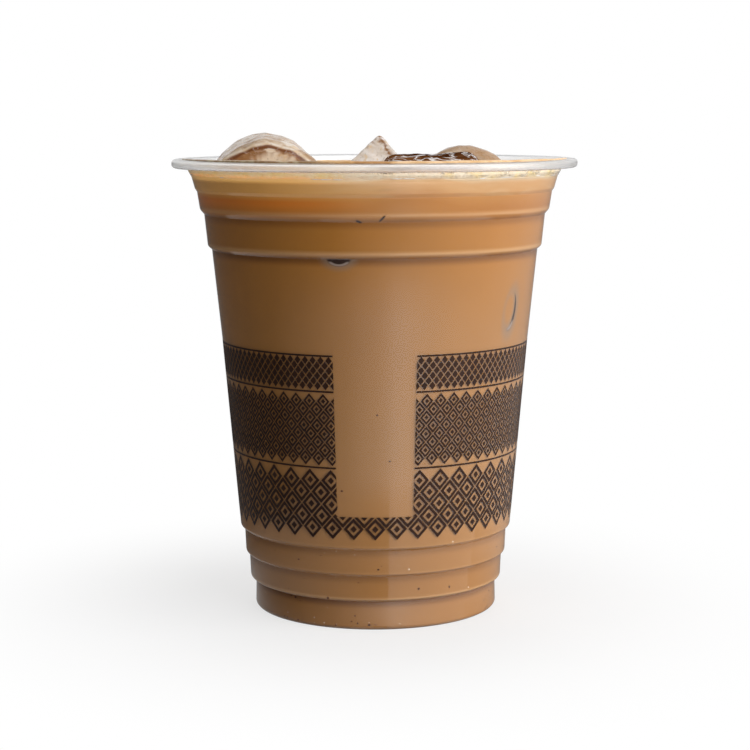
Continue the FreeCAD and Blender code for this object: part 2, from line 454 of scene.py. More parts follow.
def looked_at(rays):
    """1 for a ray from the camera, off gloss or through glass."""
    bounced = rays["Is Glossy Ray"].maths("MAXIMUM", rays["Is Transmission Ray"])
    return rays["Is Camera Ray"].maths("MAXIMUM", bounced)


def group(name, inputs, outputs):
    """A shader group with named inputs (name, default) and outputs (name, kind), its inputs as fields, and
    the sockets of its outputs."""
    tree = bpy.data.node_groups.new(name, "ShaderNodeTree")
    for label, default in inputs:
        kind = "NodeSocketVector" if default is None else "NodeSocketFloat"
        socket = tree.interface.new_socket(label, in_out="INPUT", socket_type=kind)
        if default is not None:
            socket.default_value = default
    for label, kind in outputs:
        tree.interface.new_socket(label, in_out="OUTPUT", socket_type="NodeSocket" + kind)
    return tree, fields(tree.nodes.new("NodeGroupInput")), tree.nodes.new("NodeGroupOutput").inputs


def use(where, made, **sockets):
    """Places a group in a material with its own values; returns what it puts out."""
    return fields(add(where.tree, "Group", {"node_tree": made}, Place=where, **sockets))


# ------------------------------------------------------------------ shared effects


def mottle_group():
    """Soft uneven shading, as in a drink with fine solids in it: two sizes of noise round a value of 1."""
    inputs = [("Place", None), ("Scale", 100.0), ("Amount", 0.1)]
    tree, given, out = group("mottle", inputs, [("Factor", "Float")])
    where, scale = given["Place"], given["Scale"]
    both = noise(where, scale, 3.0, 0.55) + noise(where, scale * 14.0, 2.0) * 0.6
    connect(out["Factor"], (both - 0.8) * given["Amount"] + 1.0)
    return tree


def depth_group():
    """Colour of the drink by height: even milky coffee, a warm coffee band, then pale froth at the top. The
    bands sway a little all round and dip just to the right of the front."""
    tree, given, out = group("drink_by_height", [("Place", None)], [("Colour", "Color")])
    across, _, height = given["Place"].axes()
    sway = noise(given["Place"], 70.0, 3.0) - 0.5
    dip = across.between(-0.004, 0.007) * across.between(0.021, 0.011)
    lifted = height + sway * 0.0016 - dip * 0.0017
    stops = [(0.0, srgb(174, 121, 66)), (0.16, srgb(177, 124, 69)), (0.22, srgb(180, 128, 74)),
             (0.40, srgb(174, 124, 70)), (0.65, srgb(172, 119, 62)), (0.78, srgb(176, 118, 53)),
             (0.86, srgb(181, 120, 51)), (0.905, srgb(193, 127, 57)), (0.925, srgb(210, 147, 76)),
             (0.937, srgb(222, 166, 100)), (0.9535, srgb(226, 174, 112)), (0.9585, srgb(233, 196, 146)),
             (0.963, srgb(240, 215, 178))]
    connect(out["Colour"], ramp(lifted / DRINK_HEIGHT, stops))
    return tree


def ledge_group():
    """Painted light and shade in the stacking ledges, by height: a painted highlight on the rounding above
    each ledge and painted shade in the crease under it."""
    tree, given, out = group("ledge_light", [("Place", None)], [("Gleam", "Float"), ("Shade", "Float")])
    height = given["Place"].axes()[2]
    below, above = CUP_SECTION[:-1], CUP_SECTION[1:]
    steps = (below[:, 2] == CREASE) & (above[:, 2] > CREASE) & (above[:, 0] > below[:, 0] + 0.1)
    gleams, shades = 0.0, 0.0
    ledges = zip(below[steps, 1] * MM, above[steps, 1] * MM, LEDGE_GLEAM, LEDGE_SHADE, LEDGE_RAISED)
    for low, high, gleam, shade, raised in ledges:
        top, foot = high + raised * MM, low + raised * MM
        lit = height.between(top - 0.0004, top, 0.0, gleam) * height.between(top + 0.0011, top + 0.0001)
        dark = height.between(low - 0.0022, low - 0.0001, 0.0, shade) * height.between(top - 0.0003, foot)
        gleams, shades = lit + gleams, dark + shades
    connect(out["Gleam"], gleams)
    connect(out["Shade"], shades)
    return tree


def wall_mark_group():
    """Crescent where sunk ice presses on the wall: a disc less a second disc shifted off it and cut level
    at a top, laid out by angle round the cup and by height, with a soft halo round it and a pale line low
    in it."""
    inputs = [("Place", None)] + [(name.replace("_", " "), 0.0) for name in MARK_SIZES]
    tree, given, out = group("ice_on_wall", inputs, [("Core", "Float"), ("Halo", "Float"), ("Edge", "Float")])
    east, north, height = given["Place"].axes()
    along = (east.maths("ARCTAN2", north * -1.0) - given["Angle"]) * given["Radius"]
    above = height - given["Height"]
    cosine, sine = given["Tilt"].maths("COSINE"), given["Tilt"].maths("SINE")
    across = along * cosine + above * sine
    upward = above * cosine - along * sine

    def disc(shift_x, shift_z):
        wide = (across - shift_x) / given["Half Width"]
        tall = (upward - shift_z) / given["Half Height"]
        return (wide * wide + tall * tall).maths("SQRT")

    whole, bite = disc(0.0, 0.0), disc(given["Shift X"], given["Shift Z"])
    under = (height - given["Top"]).between(0.0003, -0.0001)
    outside = bite.between(0.92, 1.1)
    connect(out["Core"], whole.between(1.05, 0.85) * under * outside)
    connect(out["Halo"], whole.between(1.9, 0.9) * under * bite.between(0.45, 1.05))
    line = whole.between(0.66, 0.76) * whole.between(0.98, 0.88)
    lower = (upward / given["Half Height"]).between(-0.3, -0.55)
    connect(out["Edge"], line * lower * outside)
    return tree


def bubble_group():
    """Froth seen close: cells of two sizes, brighter at their rims, with the height of their domes."""
    tree, given, out = group("froth_bubbles", [("Place", None), ("Scale", 700.0)],
                             [("Rims", "Float"), ("Domes", "Float")])
    large, small = (Field(add(tree, "TexVoronoi", Vector=given["Place"], Scale=scale).outputs["Distance"])
                    for scale in (given["Scale"], given["Scale"] * 2.6))
    connect(out["Rims"], large.between(0.35, 0.75))
    connect(out["Domes"], (large + small * 0.4) * -1.0)
    return tree


# ------------------------------------------------------------------ materials


def clear_sheet():
    """Clear moulded plastic: smooth glass with faint handling marks, hazy on the rolled rim; the lamps'
    light passes straight through it."""
    material, where = new_material("clear_cup_plastic")
    haze = where.axes()[2].between(0.1072, 0.1080, 0.0, 0.28)
    rough = noise(where, 260.0, 4.0).between(0.35, 0.75, 0.02, 0.055) + haze
    plastic = add(where.tree, "BsdfPrincipled", Base_Color=WHITE, Roughness=rough, IOR=1.5,
                  Transmission_Weight=1.0)
    through = add(where.tree, "BsdfTransparent", Color=(0.97, 0.97, 0.97, 1.0))
    rays = fields(add(where.tree, "LightPath"))
    return finished(material, blended(rays["Is Shadow Ray"].maths("MAXIMUM", rays["Is Diffuse Ray"]),
                                      plastic, through))


def painted_collar_light(where, colour):
    """Painted light and shade on a colour: a warm painted light on the left of the collar, standing in for
    light that comes down through the froth, and a little painted shade on its right."""
    across, _, height = where.axes()
    painted_warm = height.tint(0.1006, 0.1024, srgb(240, 138, 46), srgb(252, 184, 96))
    painted_light_share = across.between(0.005, -0.024) * height.between(0.0965, 0.1012)
    painted_shade_share = across.between(0.008, 0.030, 0.0, 0.30) * height.between(0.097, 0.099)
    return mixed(painted_light_share, mixed(painted_shade_share, colour, srgb(140, 84, 30)), painted_warm)


def coffee_liquid(mottle, by_height, ledges, wall_mark):
    """Milky coffee seen through the wall, with fine solids in it, painted light and shade in the ledges and
    on the collar, and dark marks where ice touches the wall: crescents with a grey halo and a pale line, and
    small brown ones."""
    material, where = new_material("milky_coffee")
    uneven = use(where, mottle, Scale=90.0, Amount=0.10)["Factor"]
    # painted warm light on the left of the collar and painted shade on its right
    colour = painted_collar_light(where, shaded(use(where, by_height)["Colour"], uneven))
    ledge = use(where, ledges)
    # painted shade in each ledge's crease, then a painted highlight on its rounding
    colour = mixed(ledge["Shade"], colour, srgb(84, 38, 6))
    colour = mixed(ledge["Gleam"], colour, srgb(255, 214, 160))
    kinds = ((ICE_ON_WALL, 0.5, srgb(132, 122, 110), 0.5), (CHIPS_ON_WALL, 0.3, srgb(128, 84, 44), 0.0))
    for patches, halo, haze, edge in kinds:
        for patch in patches:
            sizes = {name: math.radians(size) if name in ("Angle", "Tilt") else size * MM
                     for name, size in zip(MARK_SIZES, patch)}
            mark = use(where, wall_mark, **sizes)
            colour = mixed(mark["Halo"] * halo, colour, haze)
            colour = mixed(mark["Core"] * 0.97, colour, srgb(42, 20, 10))
            if edge:
                colour = mixed(mark["Edge"] * edge, colour, srgb(206, 184, 170))
    return finished(material, principled(colour, Roughness=0.6, Specular_IOR_Level=0.0))


def painted_froth_glow(where):
    """Painted glow, as emission, that stands in for light the froth passes on from above to its side, by the
    wall only: warm at the left, pale in the middle and none at the right and behind."""
    across, ahead, height = where.axes()
    middle = across.tint(0.028, 0.006, BLACK, srgb(168, 154, 134))
    painted_warm = across.tint(0.002, -0.020, middle, srgb(246, 196, 116))
    flat = Field(add(where.tree, "CombineXYZ", X=across, Y=ahead).outputs[0])
    outward = Field(add(where.tree, "VectorMath", {"operation": "LENGTH"}, n_0=flat).outputs["Value"])
    by_wall = outward.between(0.0416, 0.0424) * ahead.between(0.012, -0.012)
    return mixed(by_wall * height.between(0.1046, 0.1056), BLACK, painted_warm)


def froth_material(mottle, by_height, bubbles, name="milk_froth", film=False):
    """Milk froth: cream with yellow patches and fine bubbles, and wisps where it meets the coffee, with
    painted warm light and shade on its side and a painted glow by the wall that stands in for light from
    above. As a film it thins out to clear patches and turns brown at the back, a painted shade."""
    material, where = new_material(name)
    level = Field(add(where.tree, "Mapping", Vector=where, Scale=(1.0, 1.0, 7.0)).outputs[0])
    wisps = noise(level, 85.0, 4.0, 0.6)
    side = mixed(wisps.between(0.46, 0.68, 0.0, 0.4), use(where, by_height)["Colour"], srgb(232, 198, 150))
    side = mixed(wisps.between(0.42, 0.28, 0.0, 0.25), side, srgb(176, 118, 62))
    cells = use(where, bubbles, Scale=820.0)
    cream = noise(where, 140.0, 4.0, 0.6).tint(0.46, 0.64, srgb(240, 220, 190), srgb(242, 214, 150))
    cream = mixed(cells["Rims"] * 0.3, cream, srgb(252, 242, 222))
    edge = where.axes()[2] + (noise(where, 75.0, 3.0) - 0.5) * 0.0022
    upper = edge.between(0.1057, 0.1067)
    colour = shaded(mixed(upper, painted_collar_light(where, side), cream),
                    use(where, mottle, Scale=160.0, Amount=0.07)["Factor"])
    if film:
        # painted shade: the film turns brown behind, where the back wall lies in shade
        colour = mixed(attribute(where.tree, "stain_and_shade"), colour, srgb(206, 160, 98))
    bump = add(where.tree, "Bump", Height=cells["Domes"], Strength=upper * 0.4, Distance=0.0003)
    # painted glow: emission by the wall that stands in for light from above
    shader = principled(colour, Roughness=0.45, Specular_IOR_Level=0.2, Normal=Field(bump.outputs[0]),
                        Emission_Color=painted_froth_glow(where), Emission_Strength=PAINTED_GLOW_STRENGTH)
    if film:
        seen = noise(where, 420.0, 5.0, 0.65) + attribute(where.tree, "cover")
        connect(shader.inputs["Alpha"], seen.between(0.86, 1.04))
    return finished(material, shader)


def rim_refraction_material():
    """Painted refraction of the drink on the rim: brown at the front, pale on the right as a painted
    highlight, dull and mottled on the left.
    """
    material, where = new_material("rim_painted_refraction")
    across, mottled = where.axes()[0], noise(where, 420.0, 3.0)
    left = mottled.tint(0.4, 0.6, srgb(186, 166, 134), srgb(150, 116, 76))
    front = mottled.tint(0.36, 0.64, srgb(204, 156, 98), srgb(178, 130, 76))
    right = mottled.tint(0.36, 0.64, srgb(232, 194, 150), srgb(214, 172, 122))
    colour = across.tint(0.003, 0.006, across.tint(-0.006, -0.016, front, left), right)
    return finished(material, principled(colour, Roughness=0.3, IOR=1.33))


def patchy_material(name, first, second, scale, detail, low, high, **finish):
    """Two colours in soft patches under one finish, as on single bubbles, drops and specks."""
    material, where = new_material(name)
    colour = noise(where, scale, detail).tint(low, high, first, second)
    return finished(material, principled(colour, **finish))


def wet_froth_and_glint_material(name, colour, other, roughness):
    """Wet froth standing by itself, and painted glints: two colours in patches under a gloss."""
    return patchy_material(name, colour, other, 300.0, 3.0, 0.36, 0.64, Roughness=roughness, IOR=1.33)


def speck_material(name, dark, light):
    """Specks of ground coffee or froth caught against the wall."""
    return patchy_material(name, dark, light, 500.0, 1.0, 0.3, 0.7, Roughness=0.6, Specular_IOR_Level=0.0)


def ice_material(name, clear, stain_and_shade, crack_highlight, stretch=(1.0, 1.0, 2.2), clearness=0.25, gloss=0.5):
    """Wet ice taking up coffee: a clear colour stained in patches, white streaks of frost and cracks that are
    partly painted highlights, and a melted gloss; brown where it was soaked, white where froth clings."""
    material, where = new_material(name)
    drawn = Field(add(where.tree, "Mapping", Vector=where, Scale=stretch).outputs[0])
    patches, lines = noise(drawn, 120.0, 4.0, 0.6, 0.5), noise(drawn, 230.0, 4.0, 0.55, 0.8)
    soaked, foam = attribute(where.tree, "soaked"), attribute(where.tree, "foam")
    colour = patches.tint(0.38, 0.62, clear, stain_and_shade)
    brown = patches.tint(0.35, 0.6, srgb(164, 122, 84), srgb(140, 98, 60))
    colour = mixed(soaked.between(0.0, 0.6, kind="LINEAR"), colour, brown)
    colour = mixed(soaked.between(0.6, 1.0), colour, srgb(108, 60, 20))
    ridge = (lines - 0.5).maths("ABSOLUTE")
    # white streaks of frost and cracks, partly painted highlights
    colour = mixed(ridge.between(0.03, 0.004) * crack_highlight, colour, srgb(238, 234, 232))
    colour = mixed(foam, colour, lines.tint(0.42, 0.62, srgb(232, 222, 208), srgb(222, 200, 170)))
    colour = mixed(noise(where, 1500.0, 2.0).between(0.42, 0.3, 0.0, 0.3), colour, srgb(112, 84, 58))
    bump = add(where.tree, "Bump", Height=lines, Strength=0.16, Distance=0.0005)
    return finished(material, principled(colour, Roughness=0.34 - 0.3 * gloss, IOR=1.31,
                                         Specular_IOR_Level=gloss, Transmission_Weight=clearness,
                                         Normal=Field(bump.outputs[0])))


def ink_material(mottle):
    """Dark brown printing ink, slightly thin in places."""
    material, where = new_material("brown_print_ink")
    thin = use(where, mottle, Scale=240.0, Amount=0.5)["Factor"]
    colour = thin.tint(0.85, 1.2, srgb(38, 18, 8), srgb(56, 32, 18))
    return finished(material, principled(colour, Roughness=0.42, Specular_IOR_Level=0.15))


# ------------------------------------------------------------------ pieces


def build_cup(material):
    """The sheet of the cup: the outer outline and, beside it at the sheet's thickness, the inner one,
    joined at the free edge and turned round the axis."""
    loop = np.concatenate([rounded(CUP_SECTION), rounded(beside(CUP_SECTION, SHEET))[::-1]])
    poles = [(0, 0, loop[0, 1]), (0, 0, loop[-1, 1])]
    return fit(closed_rings("cup_sheet", turned(loop[1:-1]), poles), material, "clear_plastic", "cup")


def contents_line():
    """Side line of whatever fills the cup, bedded a little into the sheet."""
    return rounded(beside(CUP_SECTION, SHEET - BEDDING)[:-4], 20)


def build_coffee(material, top):
    """The drink: the bedded inner outline up to the froth, closed by a level top, turned round the axis."""
    line = contents_line()
    line = line[line[:, 1] < top]
    line = np.concatenate([line, [[radius_at(line, top), top], [FLAT_RING, top]]])
    return fit(closed_rings("coffee_body", turned(line[1:]), [(0, 0, line[0, 1]), (0, 0, top)]),
               material, "mocha", "mocha_drink")


def bubble_domes(points, centres, sizes):
    """Height added by bubbles: inside each one 0.6 of the dome sqrt(size2 - distance2), the highest where
    they overlap."""
    height = np.zeros(len(points))
    for centre, size in zip(centres, sizes):
        near = np.abs(points - centre).max(-1) < size
        gap = size ** 2 - ((points[near] - centre) ** 2).sum(-1)
        height[near] = np.maximum(height[near], np.sqrt(np.maximum(gap, 0)) * 0.6)
    return height


def build_froth(material, low, high):
    """The froth: a side band in the wall, and a top whose height is its level, slow waves, a rise at the
    wall and domes of bubbles."""
    line = contents_line()
    inside = line[(line[:, 1] > low) & (line[:, 1] < high)]
    rim = radius_at(line, high + FROTH_MENISCUS)
    foot = [[FLAT_RING, low], [radius_at(line, low), low]]
    band = np.concatenate([foot, inside, [[rim, high + FROTH_MENISCUS]]])
    radius = rim * np.linspace(1, 0, 150)[1:-1] ** 0.85
    flat = turned(np.column_stack([radius, np.full_like(radius, high)]), FROTH_AROUND)
    points = flat.reshape(-1, 3)
    rng = np.random.default_rng(11)
    spread = rim * np.sqrt(rng.uniform(0, 1, BUBBLES_IN_FROTH))
    centres = polar(spread, rng.uniform(0, 2 * np.pi, BUBBLES_IN_FROTH), 0)[:, :2]
    sizes = 0.18 + 0.75 * rng.uniform(0, 1, BUBBLES_IN_FROTH) ** 5
    from_wall = rim - np.hypot(points[:, 0], points[:, 1])
    climb = FROTH_MENISCUS * np.exp(-from_wall / 0.9)
    lift = 0.16 * waves(points, 9.0, 3) + 0.07 * waves(points, 2.6, 4)
    domes = bubble_domes(points[:, :2], centres, sizes)
    points[:, 2] += climb + np.clip(from_wall, 0, 1) * (lift + domes)
    rings = np.concatenate([turned(band, FROTH_AROUND), points.reshape(flat.shape)])
    return fit(closed_rings("froth_layer", rings, [(0, 0, low), (0, 0, high)]), material, "froth", "froth")


def build_film(material, level):
    """Froth clinging to the wall above its level: a thin skin against the sheet, whose upper edge wanders
    with the angle and stands highest at the back; it thins upwards and towards the right, and turns brown
    behind, a painted shade of the back wall."""
    angle = 2 * np.pi * np.arange(FROTH_AROUND) / FROTH_AROUND
    turn = np.degrees((angle + np.pi) % (2 * np.pi) - np.pi)
    around = polar(40, angle, 0)
    behind = ease(np.abs(turn), 78, 112)
    top = FILM_TOP + 0.4 * behind + 0.08 * waves(around, 16, 21) + 0.08 * waves(around, 4, 22)
    share = np.linspace(0, 1, 14)[:, None]
    height = level - 0.2 + share * (top[None] - level + 0.2)
    radius = radius_at(wall_line(SHEET - BEDDING), height)
    outer = polar(radius, angle, height)
    inner = polar(radius - (BEDDING + 0.05 + 0.3 * (1 - share) ** 0.7), angle, height)
    mesh = closed_rings("froth_film", np.concatenate([outer, inner[::-1]]))
    sparse = 0.22 * ease(turn, 25, 75) * (1 - behind) - 0.1 * ease(-turn, 5, 30)
    cover = 0.80 - 0.26 * share ** 2 * (1 - 0.7 * behind) - sparse + 0.1 * waves(outer, 8, 23)
    # painted shade: brown on the film behind, where the back wall lies in shade
    stain_and_shade = behind * (0.75 + 0.25 * waves(outer, 6, 24))
    attach(mesh, "cover", np.concatenate([cover, cover[::-1]]))
    attach(mesh, "stain_and_shade", np.concatenate([stain_and_shade, stain_and_shade[::-1]]))
    return fit(mesh, material, "froth")


def build_bubbles(material, level):
    """Single bubbles at the wall and on the froth: small rounds strewn in a ring by the wall and over the
    top."""
    rng = np.random.default_rng(31)
    turn = rng.uniform(-np.pi, np.pi, BUBBLES_BY_WALL)
    size = 0.08 + 0.2 * rng.uniform(0, 1, BUBBLES_BY_WALL) ** 3
    height = level + 0.1 + rng.uniform(0, 1, BUBBLES_BY_WALL) ** 1.6
    by_wall = polar(radius_at(wall_line(SHEET), height) - size * 0.75, turn, height)
    turn = rng.uniform(-np.pi, np.pi, BUBBLES_ON_TOP)
    spread = 42 * np.sqrt(rng.uniform(0, 1, BUBBLES_ON_TOP))
    sizes = np.concatenate([size, 0.2 + 0.5 * rng.uniform(0, 1, BUBBLES_ON_TOP) ** 3])
    centres = np.concatenate([by_wall, polar(spread, turn, level + 0.15)])
    return fit(strewn("froth_bubbles", ball(), centres, sizes[:, None, None] * np.eye(3)), material, "froth")


def build_painted_glints(material, level):
    """Painted glints: a broken bright line at the froth's level, long thin white drops lying against the wall
    that stand in for highlights of a lamp on the crease where the wall flares.
    """
    turn = np.radians([-77.0, -52.0, -17.2, -14.2, -10.6, 6.4, 9.8, 33.0, 42.0, 58.0, 71.0, 78.0])
    half = np.array([1.6, 0.9, 1.0, 1.5, 1.2, 1.3, 1.5, 0.8, 2.0, 1.2, 2.4, 1.8])
    height = level - 0.12 + 0.1 * np.sin(9 * turn)
    centres = polar(radius_at(wall_line(SHEET - BEDDING), height) + 0.01, turn, height)
    axes = wall_axes(turn, half, 0 * half + 0.13, 0 * half + 0.07)
    return fit(strewn("painted_glints", ball(3, 12), centres, axes), material, "froth")


def build_rim_refraction_bead(material):
    """A low brown bead on the front of the rim, a painted refraction of the drink seen through the rim's top:
    half an ellipse in section, carried round the rim and tapering to nothing at both ends."""
    turn = np.radians(np.linspace(-86, 86, 240))[:, None]
    swell = np.clip(1 - (turn / np.radians(86.5)) ** 2, 0, 1) ** 0.35
    around = polar(40, turn[:, 0], 0)
    wide = BEAD_WIDE * swell * (1 + 0.08 * waves(around, 7, 91)[:, None])
    tall = BEAD_TALL * swell * (1 + 0.10 * waves(around, 5, 92)[:, None])
    station = 2 * np.pi * np.arange(12) / 12
    foot = CUP_SECTION[:, 1].max() + SHEET - 0.02
    height = foot + np.where(np.sin(station) > 0, tall, 0.05) * np.sin(station)
    rings = polar(BEAD_RADIUS - wide * np.cos(station), turn, height)
    return fit(closed_rings("rim_painted_refraction", rings, [rings[0].mean(0), rings[-1].mean(0)]), material, "mocha")


def plug_rings(radius, taper, length, edge, dish_radius=9.5, dish_depth=1.8, columns=220):
    """A moulded ice plug along its axis: a line from the bottom of the dish, over the melted front rim,
    along the tapering side and round the back, turned about the axis."""
    half = length / 2
    dish = np.linspace(0, dish_radius, 26)
    bowl = np.column_stack([dish, -half + dish_depth * (1 - (dish / dish_radius) ** 2)])
    corners = np.array([(dish_radius, -half, 0.0), (radius, -half, edge), (radius - taper, half, edge),
                        (0, half, 0.0)])
    rest = rounded(corners, 6, 0.3)
    side = np.linspace(0, 1, 40)[1:-1, None]
    run = np.argmax(np.linalg.norm(np.diff(rest, axis=0), axis=-1))
    back = rest[-2]
    cap = np.linspace(1, 0, 16)[1:, None] * [back[0], 0] + [0, back[1]]
    line = np.concatenate([bowl[:-1], rest[:run + 1], rest[run] + side * (rest[run + 1] - rest[run]),
                           rest[run + 1:-1], cap[:-1]])
    angle = 2 * np.pi * np.arange(columns) / columns
    radii, along = line[1:, :1], line[1:, 1:] + 0 * angle
    rings = np.stack([radii * np.cos(angle), radii * np.sin(angle), along], -1)
    return rings, np.array([(0, 0, line[0, 1]), (0, 0, half)])


def lay_down(points, tilt, yaw):
    """Turns points from the plug's own axis to lying: tipped about X, then swung about Z, in degrees."""
    tip, swing = math.radians(-90 + tilt), math.radians(yaw)
    about_x = np.array([[1, 0, 0], [0, math.cos(tip), -math.sin(tip)], [0, math.sin(tip), math.cos(tip)]])
    about_z = np.array([[math.cos(swing), -math.sin(swing), 0], [math.sin(swing), math.cos(swing), 0],
                        [0, 0, 1]])
    return points @ (about_z @ about_x).T


def melted(points, outward, rough, seed):
    """Melted surface: points moved along outward by slow and quick waves, by up to about the rough
    amount."""
    shape = rough * (0.7 * waves(points, 9.0, seed) + 0.3 * waves(points, 3.0, seed + 1))
    return points + outward * shape[..., None]


def build_plug(name, node, material, radius, taper, length, edge, tilt, yaw, rough, seed, froth_patches=(),
               open_mouth=0.1):
    """A moulded piece of ice set where the model has it: its rings melted, laid down, then moved so that
    its top and its middle meet the node's box. Its front face is stained inside the mouth and edged with
    froth, by as much as the mouth is open; froth patches on it are ovals (across, up, half sizes, lean)."""
    rings, poles = plug_rings(radius, taper, length, edge)
    spread = np.hypot(rings[..., 0], rings[..., 1])
    across, up = rings[..., 0], -rings[..., 1]
    behind_face = rings[..., 2] + length / 2
    mouth = radius - 1.2 + 0.9 * (across / np.maximum(spread, 0.1)) ** 2 + 0.2 * waves(rings, 7, seed + 5)
    arc = ease(spread, mouth - 1.5, mouth - 0.9) + 0.25 * waves(rings, 5, seed + 6)
    face = open_mouth * (behind_face < 2.0)
    soaked = face * ease(spread, mouth - 0.2, mouth - 0.5) * (0.6 + 0.4 * arc)
    foam = face * np.exp(-((spread - mouth) / 0.32) ** 2)
    for middle_across, middle_up, half_across, half_up, lean in froth_patches:
        run, rise = across - middle_across, up - middle_up - lean * (across - middle_across)
        patch = np.hypot(run / half_across, rise / half_up) + 0.08 * waves(rings, 1.6, seed + 8)
        foam = np.maximum(foam, ease(patch, 1.15, 0.9) * (behind_face < 4.5))
    rings = melted(rings, unit(rings) * [1, 1, 0.25], rough, seed)
    laid = lay_down(np.concatenate([rings.reshape(-1, 3), poles]), tilt, yaw)
    low, high = (np.array(corner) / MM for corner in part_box(node))
    laid[:, :2] += ((low + high) / 2 - (laid.min(0) + laid.max(0)) / 2)[:2]
    laid[:, 2] += high[2] - laid[:, 2].max()
    mesh = closed_rings(name, laid[:-2].reshape(rings.shape), laid[-2:])
    attach(mesh, "soaked", np.concatenate([soaked.ravel(), [1, 0]]))
    attach(mesh, "foam", np.concatenate([foam.ravel(), [0, 0]]))
    return fit(mesh, material, "ice", node)


def build_shard(name, node, material):
    """A broken piece: along each direction from its middle, the radius is the p-norm blend of the distances
    to its faces, which rounds every edge, and then it is melted. The more the power, the sharper its
    edges."""
    low, high = (np.array(corner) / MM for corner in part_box(node))
    tip = np.array([1.2, 5.0, high[2]])
    middle = tip - [0.6, 0.2, 8.2]
    slopes = np.radians([49.0, 62.0, 43.5, 66.0])
    bearings = np.radians([0.0, 90.0, 180.0, 270.0])
    level = np.stack([np.cos(bearings), np.sin(bearings)], -1) * np.sin(slopes)[:, None]
    tops = np.column_stack([level, np.cos(slopes)])
    sides = np.array([(1, 0, 0), (0, 1, 0), (-1, 0, 0), (0, -1, 0), (0, 0, -1)], float)
    to_sides = np.concatenate([(high - middle)[:2], middle - low])
    reach = np.concatenate([(tops * (tip - middle)).sum(-1), to_sides])
    rows, columns, power = 110, 200, 15
    fall = np.pi * np.arange(1, rows + 1) / (rows + 1)
    heading = turned(np.stack([np.sin(fall), -np.cos(fall)], -1), columns)
    every = np.concatenate([heading.reshape(-1, 3), [(0, 0, -1.0), (0, 0, 1.0)]])
    pull = np.maximum(every @ np.concatenate([tops, sides]).T, 0) / reach
    radius = (pull ** power).sum(-1) ** (-1 / power)
    points = melted(middle + every * radius[:, None], every, 0.28, 77)
    points[:, 2] += high[2] - points[:, 2].max()
    mesh = closed_rings(name, points[:-2].reshape(rows, columns, 3), points[-2:])
    drop = tip[2] - points[:, 2]
    streaky = waves(points, 1.3, 78)
    soaked = np.exp(-((drop - 0.9) / 1.1) ** 2) * ease(streaky, -0.4, 0.4)
    past_edge = points[:, 0] - tip[0] - 0.55 * drop
    right_edge = np.exp(-(past_edge / 0.7) ** 2) * ease(streaky, -0.8, 0.0) * (drop < 7)
    attach(mesh, "soaked", 0.6 * np.maximum(soaked, right_edge))
    attach(mesh, "foam", 0.85 * ease(waves(points, 1.7, 79), 0.75, 1.25) * ease(drop, 1.0, 2.0))
    return fit(mesh, material, "ice", node)


def on_wall(angle, height, proud):
    """Points on the outer wall, or a little proud of it, at angles from the front and heights."""
    return polar(radius_at(OUTER_WALL, height) + proud, angle, height)


def lozenge_ring(half_width, half_height, stroke):
    """Outline lozenge as loops of (across, up, depth) points: sixteen stations on the outer edge and
    sixteen on the inner one, at the ink's face and at its back."""
    corner = np.array([(1, 0), (0, 1), (-1, 0), (0, -1), (1, 0)])
    share = np.linspace(0, 1, 5)[:-1, None, None]
    station = ((1 - share) * corner[:-1] + share * corner[1:]).transpose(1, 0, 2).reshape(-1, 2)
    outer = station * [half_width, half_height]
    inner = outer * (1 - stroke * math.hypot(half_width, half_height) / (half_width * half_height))
    loops = [np.column_stack([edge, np.full(16, depth)])
             for edge, depth in ((outer, 0.0), (outer, 1.0), (inner, 1.0), (inner, 0.0))]
    return np.concatenate(loops), cell_quads(4, 16, loop=True)


def lozenge_spot(half_width, half_height):
    """Solid lozenge as a flat closed form of (across, up, depth) points."""
    station = np.array([(1, 0), (0, 1), (-1, 0), (0, -1)]) * [half_width, half_height]
    points = np.concatenate([np.column_stack([station, np.full(4, depth)]) for depth in (0.0, 1.0)])
    return points, np.concatenate([cell_quads(2, 4), [[3, 2, 1, 0], [4, 5, 6, 7]]])


def window_half(height):
    """Half the window's angle at a height: nothing under its floor, its full width above its round
    corners."""
    short = 1 - np.clip((height - WINDOW_FLOOR) / WINDOW_CORNER, 0, 1)
    corner = WINDOW_CORNER / OUTER_WALL[:, 0].mean()
    return np.where(height > WINDOW_FLOOR, WINDOW_HALF - corner * (1 - np.sqrt(1 - short ** 2)), 0.0)


def stamped(form, angles, heights):
    """Copies of a flat form wrapped on the wall: across becomes an angle, up a height, and depth runs from
    just inside the wall's face to just proud of it. What would enter the window is drawn back to its
    edge."""
    points, quads = form
    turn = angles[:, None] + points[:, 0] / radius_at(OUTER_WALL, heights)[:, None]
    rise = heights[:, None] + points[:, 1]
    beneath = (heights < WINDOW_FLOOR)[:, None] & (np.abs(turn) < WINDOW_HALF)
    rise = np.where(beneath, np.minimum(rise, WINDOW_FLOOR), rise)
    half = window_half(rise)
    turn = np.where(np.abs(turn) < half, np.copysign(half, angles[:, None]), turn)
    wrapped = on_wall(turn, rise, points[:, 2] * (INK_PROUD + INK_SUNK) - INK_SUNK)
    return wrapped.reshape(-1, 3), copied(quads, len(angles), len(points))


def lattice(low, rows, rise, half_height, count):
    """Centres of a staggered lattice: rows a rise apart from a lowest height, every other one shifted by
    half a step, less those that lie in the window."""
    row = np.arange(rows)[:, None]
    step = 2 * np.pi / count
    angle = (np.arange(count)[None] + 0.5 * (row % 2)) * step
    angle = (angle + np.pi) % (2 * np.pi) - np.pi
    height = low + half_height + row * rise + 0 * angle
    clear = (np.abs(angle) > WINDOW_HALF - 0.35 * step) | (height < WINDOW_FLOOR)
    return angle[clear], height[clear]


